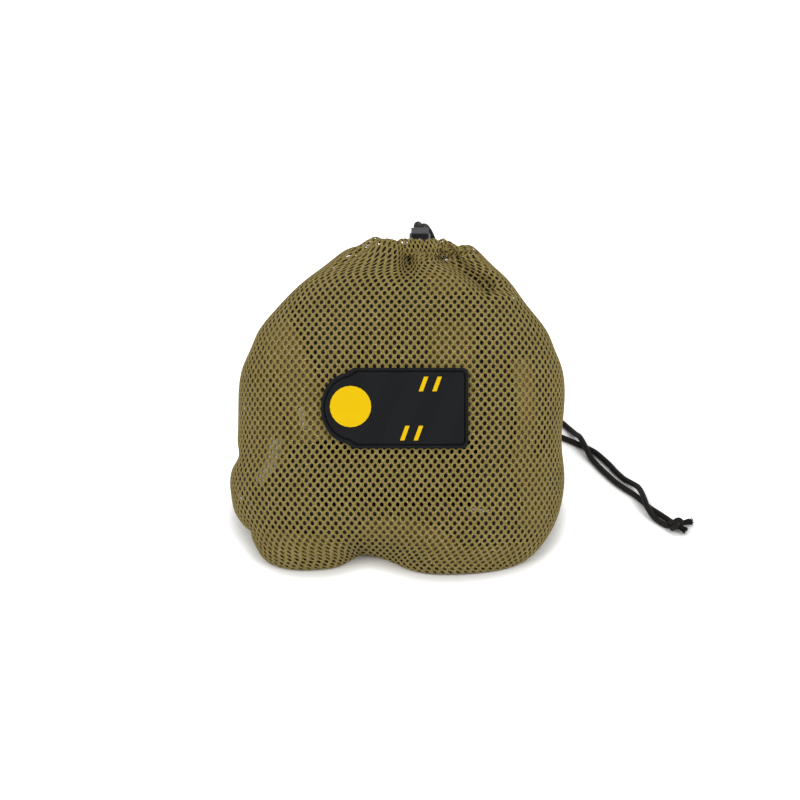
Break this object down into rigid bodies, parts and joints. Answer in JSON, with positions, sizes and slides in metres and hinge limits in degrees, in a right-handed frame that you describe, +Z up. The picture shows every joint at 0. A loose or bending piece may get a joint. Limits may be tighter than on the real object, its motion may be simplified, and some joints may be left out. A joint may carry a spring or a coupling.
{
  "type": "suspension trainer",
  "caption": "Suspension trainer packed in a leaning mesh drawstring bag with a moulded badge and cord lock, holding webbing straps, foam grips, cam buckles and a snap hook.",
  "frame": {"origin": "middle of the footprint of the bag and its lock, on the ground, without the free cord", "axes": "+Z up; the badge faces -Y and upwards; +X to the right seen from the front, the side where the cord lies"},
  "size_m": [0.3466, 0.2445, 0.198],
  "materials": {
    "olive_mesh": "knitted polyester mesh",
    "olive_webbing": "woven nylon webbing",
    "black_webbing": "woven nylon webbing",
    "black_cord": "braided polyester cord",
    "black_rubber": "soft moulded, satin",
    "yellow_rubber": "soft moulded, satin",
    "black_foam": "closed-cell foam, matt",
    "black_plastic": "moulded acetal, satin",
    "steel": "zinc plated",
    "black_aluminium": "black anodised"
  },
  "bodies": {
    "bag": {"bag_base": "olive_mesh", "bag_front": "olive_mesh", "bag_back": "olive_mesh", "neck_hem": "olive_mesh", "drawcord_in_hem": "black_cord", "drawcord_tail_a": "black_cord", "drawcord_tail_b": "black_cord", "cord_knot": "black_cord", "badge_plate": "black_rubber", "badge_disc": "yellow_rubber", "badge_stripe_1": "yellow_rubber", "badge_stripe_2": "yellow_rubber", "badge_stripe_3": "yellow_rubber", "badge_stripe_4": "yellow_rubber", "strap_hank_left": "olive_webbing", "strap_hank_right": "olive_webbing", "strap_loop_left": "olive_webbing", "strap_loop_right": "olive_webbing", "cam_frame_left": "steel", "cam_frame_right": "steel", "cam_pin_left": "steel", "cam_pin_right": "steel", "cam_spring_left": "steel", "cam_spring_right": "steel", "handle_webbing_front": "olive_webbing", "handle_webbing_rear": "olive_webbing", "foot_cradle_front": "black_rubber", "foot_cradle_rear": "black_rubber", "carabiner_body": "black_aluminium", "gate_pin": "steel", "gate_spring": "steel", "anchor_strap": "black_webbing"},
    "cord_lock": {"cord_lock_body": "black_plastic", "cord_lock_spring": "steel"},
    "lock_plunger": {"cord_lock_plunger": "black_plastic"},
    "front_grip": {"handle_foam_front": "black_foam", "handle_tube_front": "black_plastic", "handle_cap_front_left": "black_plastic", "handle_cap_front_right": "black_plastic"},
    "rear_grip": {"handle_foam_rear": "black_foam", "handle_tube_rear": "black_plastic", "handle_cap_rear_left": "black_plastic", "handle_cap_rear_right": "black_plastic"},
    "left_cam": {"cam_lever_left": "black_plastic"},
    "right_cam": {"cam_lever_right": "black_plastic"},
    "gate": {"carabiner_gate": "black_aluminium"}
  },
  "joints": [
    {"name": "cord_lock_slide", "type": "slide", "parent": "bag", "child": "cord_lock", "axis": [0, 1, 0], "range_m": [0, 0.01]},
    {"name": "lock_button", "type": "slide", "parent": "cord_lock", "child": "lock_plunger", "axis": [0, 0, -1], "range_m": [0, 0.003], "stiffness_N_per_m": 400, "springref_m": -0.002, "deforming": ["cord_lock_spring"]},
    {"name": "front_grip_spin", "type": "hinge", "parent": "bag", "child": "front_grip", "pos_m": [0, -0.05598, 0.06333], "axis": [1, 0, 0], "continuous": true},
    {"name": "rear_grip_spin", "type": "hinge", "parent": "bag", "child": "rear_grip", "pos_m": [0, 0.01226, 0.02532], "axis": [1, 0, 0], "continuous": true},
    {"name": "left_cam_hinge", "type": "hinge", "parent": "bag", "child": "left_cam", "pos_m": [-0.031, -0.00506, 0.10397], "axis": [1, 0, 0], "range_deg": [0, 25], "stiffness_Nm_per_rad": 0.03, "springref_deg": -11.46},
    {"name": "right_cam_hinge", "type": "hinge", "parent": "bag", "child": "right_cam", "pos_m": [0.031, -0.00506, 0.10397], "axis": [1, 0, 0], "range_deg": [0, 25], "stiffness_Nm_per_rad": 0.03, "springref_deg": -11.46},
    {"name": "gate_hinge", "type": "hinge", "parent": "bag", "child": "gate", "pos_m": [0.0255, 0.02025, 0.09967], "axis": [0, -0.8192, 0.5736], "range_deg": [0, 20], "stiffness_Nm_per_rad": 0.2, "springref_deg": -20.05}
  ]
}
